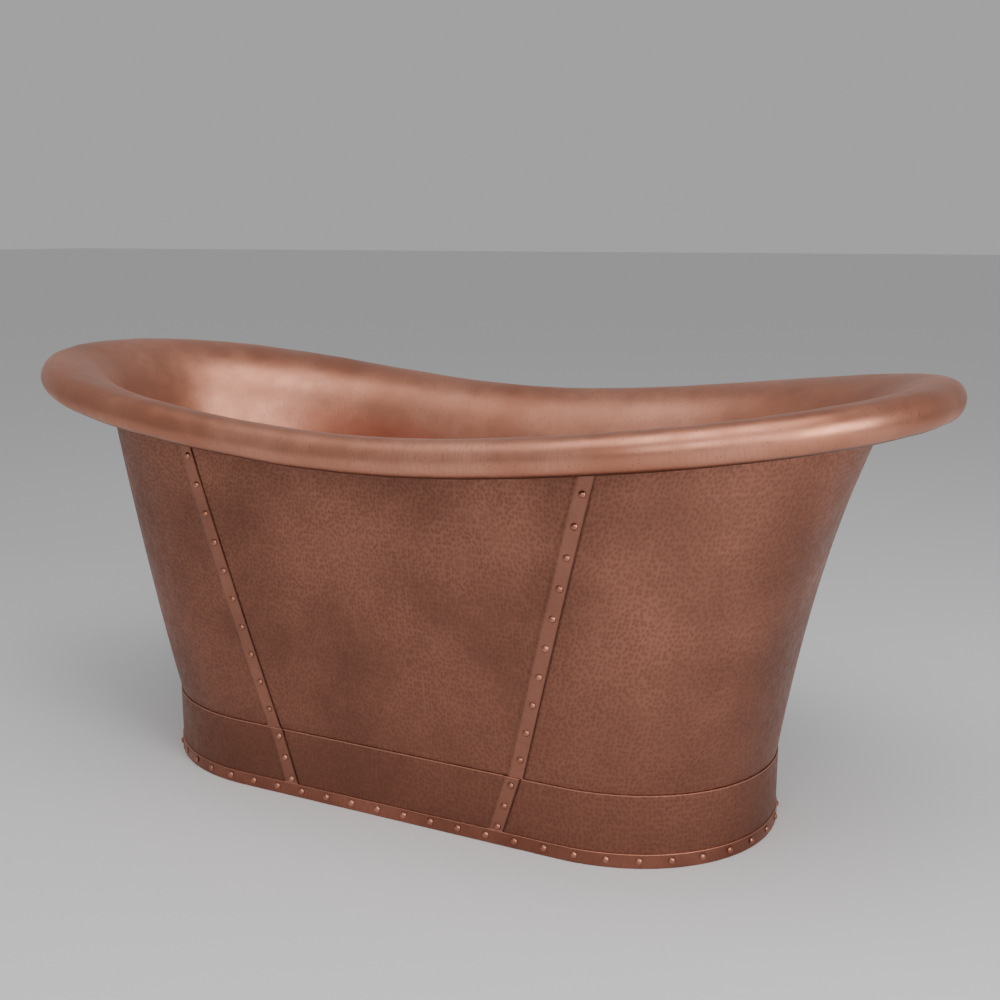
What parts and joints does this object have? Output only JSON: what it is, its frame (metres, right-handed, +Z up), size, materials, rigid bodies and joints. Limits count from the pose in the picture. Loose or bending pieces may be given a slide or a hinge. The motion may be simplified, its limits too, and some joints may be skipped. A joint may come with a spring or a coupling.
{
  "type": "freestanding bathtub",
  "caption": "Freestanding double-skinned copper bathtub with a saddle-shaped rolled rim, riveted hammered skirt, plinth, and a cable-driven waste and overflow.",
  "frame": {"origin": "middle of the footprint on the floor, straight below the waste", "axes": "+Z up, X along the tub, -Y towards the side with the overflow"},
  "size_m": [1.676, 0.7584, 0.7556],
  "materials": {
    "copper_basin": "satin rolled copper with fine dark specks",
    "copper_skirt": "hammered copper with a brown patina",
    "copper_plinth": "hammered copper with a brown patina",
    "copper_trim": "smooth rubbed copper",
    "copper_rivet": "domed copper, worn bright at the crown",
    "bronze_fitting": "oil-rubbed bronze",
    "brass_plumbing": "plain machined brass",
    "steel_frame": "black painted steel",
    "zinc_fastener": "zinc plated",
    "rubber_seal": "black rubber",
    "cable_sheath": "black plastic sheath"
  },
  "bodies": {
    "tub": {"basin": "copper_basin", "skirt_panel_front": "copper_skirt", "skirt_panel_right": "copper_skirt", "skirt_panel_back": "copper_skirt", "skirt_panel_left": "copper_skirt", "plinth_panel_front": "copper_plinth", "plinth_panel_right": "copper_plinth", "plinth_panel_back": "copper_plinth", "plinth_panel_left": "copper_plinth", "trim_band": "copper_trim", "skirt_rivets": "copper_rivet", "plinth_rivets": "copper_rivet", "trim_rivets": "copper_rivet", "base_ring": "steel_frame", "cradle_left": "steel_frame", "cradle_right": "steel_frame", "tie_bars": "steel_frame", "tie_bolts": "zinc_fastener", "bearer_pads": "rubber_seal", "foot_pads": "rubber_seal", "waste_flange": "bronze_fitting", "waste_washer_upper": "rubber_seal", "waste_washer_lower": "rubber_seal", "waste_body": "brass_plumbing", "waste_tailpiece": "brass_plumbing", "tailpiece_washer": "rubber_seal", "tailpiece_nut": "brass_plumbing", "overflow_faceplate": "bronze_fitting", "overflow_washer_inner": "rubber_seal", "overflow_washer_outer": "rubber_seal", "overflow_body": "brass_plumbing", "overflow_pipe": "brass_plumbing", "lift_cable": "cable_sheath", "pipe_washers": "rubber_seal", "pipe_nuts": "brass_plumbing"},
    "plug": {"plug": "bronze_fitting", "plug_seal": "rubber_seal", "plug_stem": "brass_plumbing", "plug_yoke": "brass_plumbing"},
    "knob": {"overflow_knob": "bronze_fitting", "knob_spindle": "brass_plumbing", "knob_screw": "bronze_fitting", "lift_crank": "brass_plumbing"}
  },
  "joints": [
    {"name": "knob_turn", "type": "hinge", "parent": "tub", "child": "knob", "pos_m": [0, -0.24749, 0.52], "axis": [0, 0.9876, 0.1569], "range_deg": [0, 90]},
    {"name": "plug_lift", "type": "slide", "parent": "tub", "child": "plug", "axis": [0, 0, 1], "range_m": [0, 0.01]}
  ],
  "couplings": [
    {"joint": "plug_lift", "follows": "knob_turn", "m_per_rad": 0.00636}
  ]
}
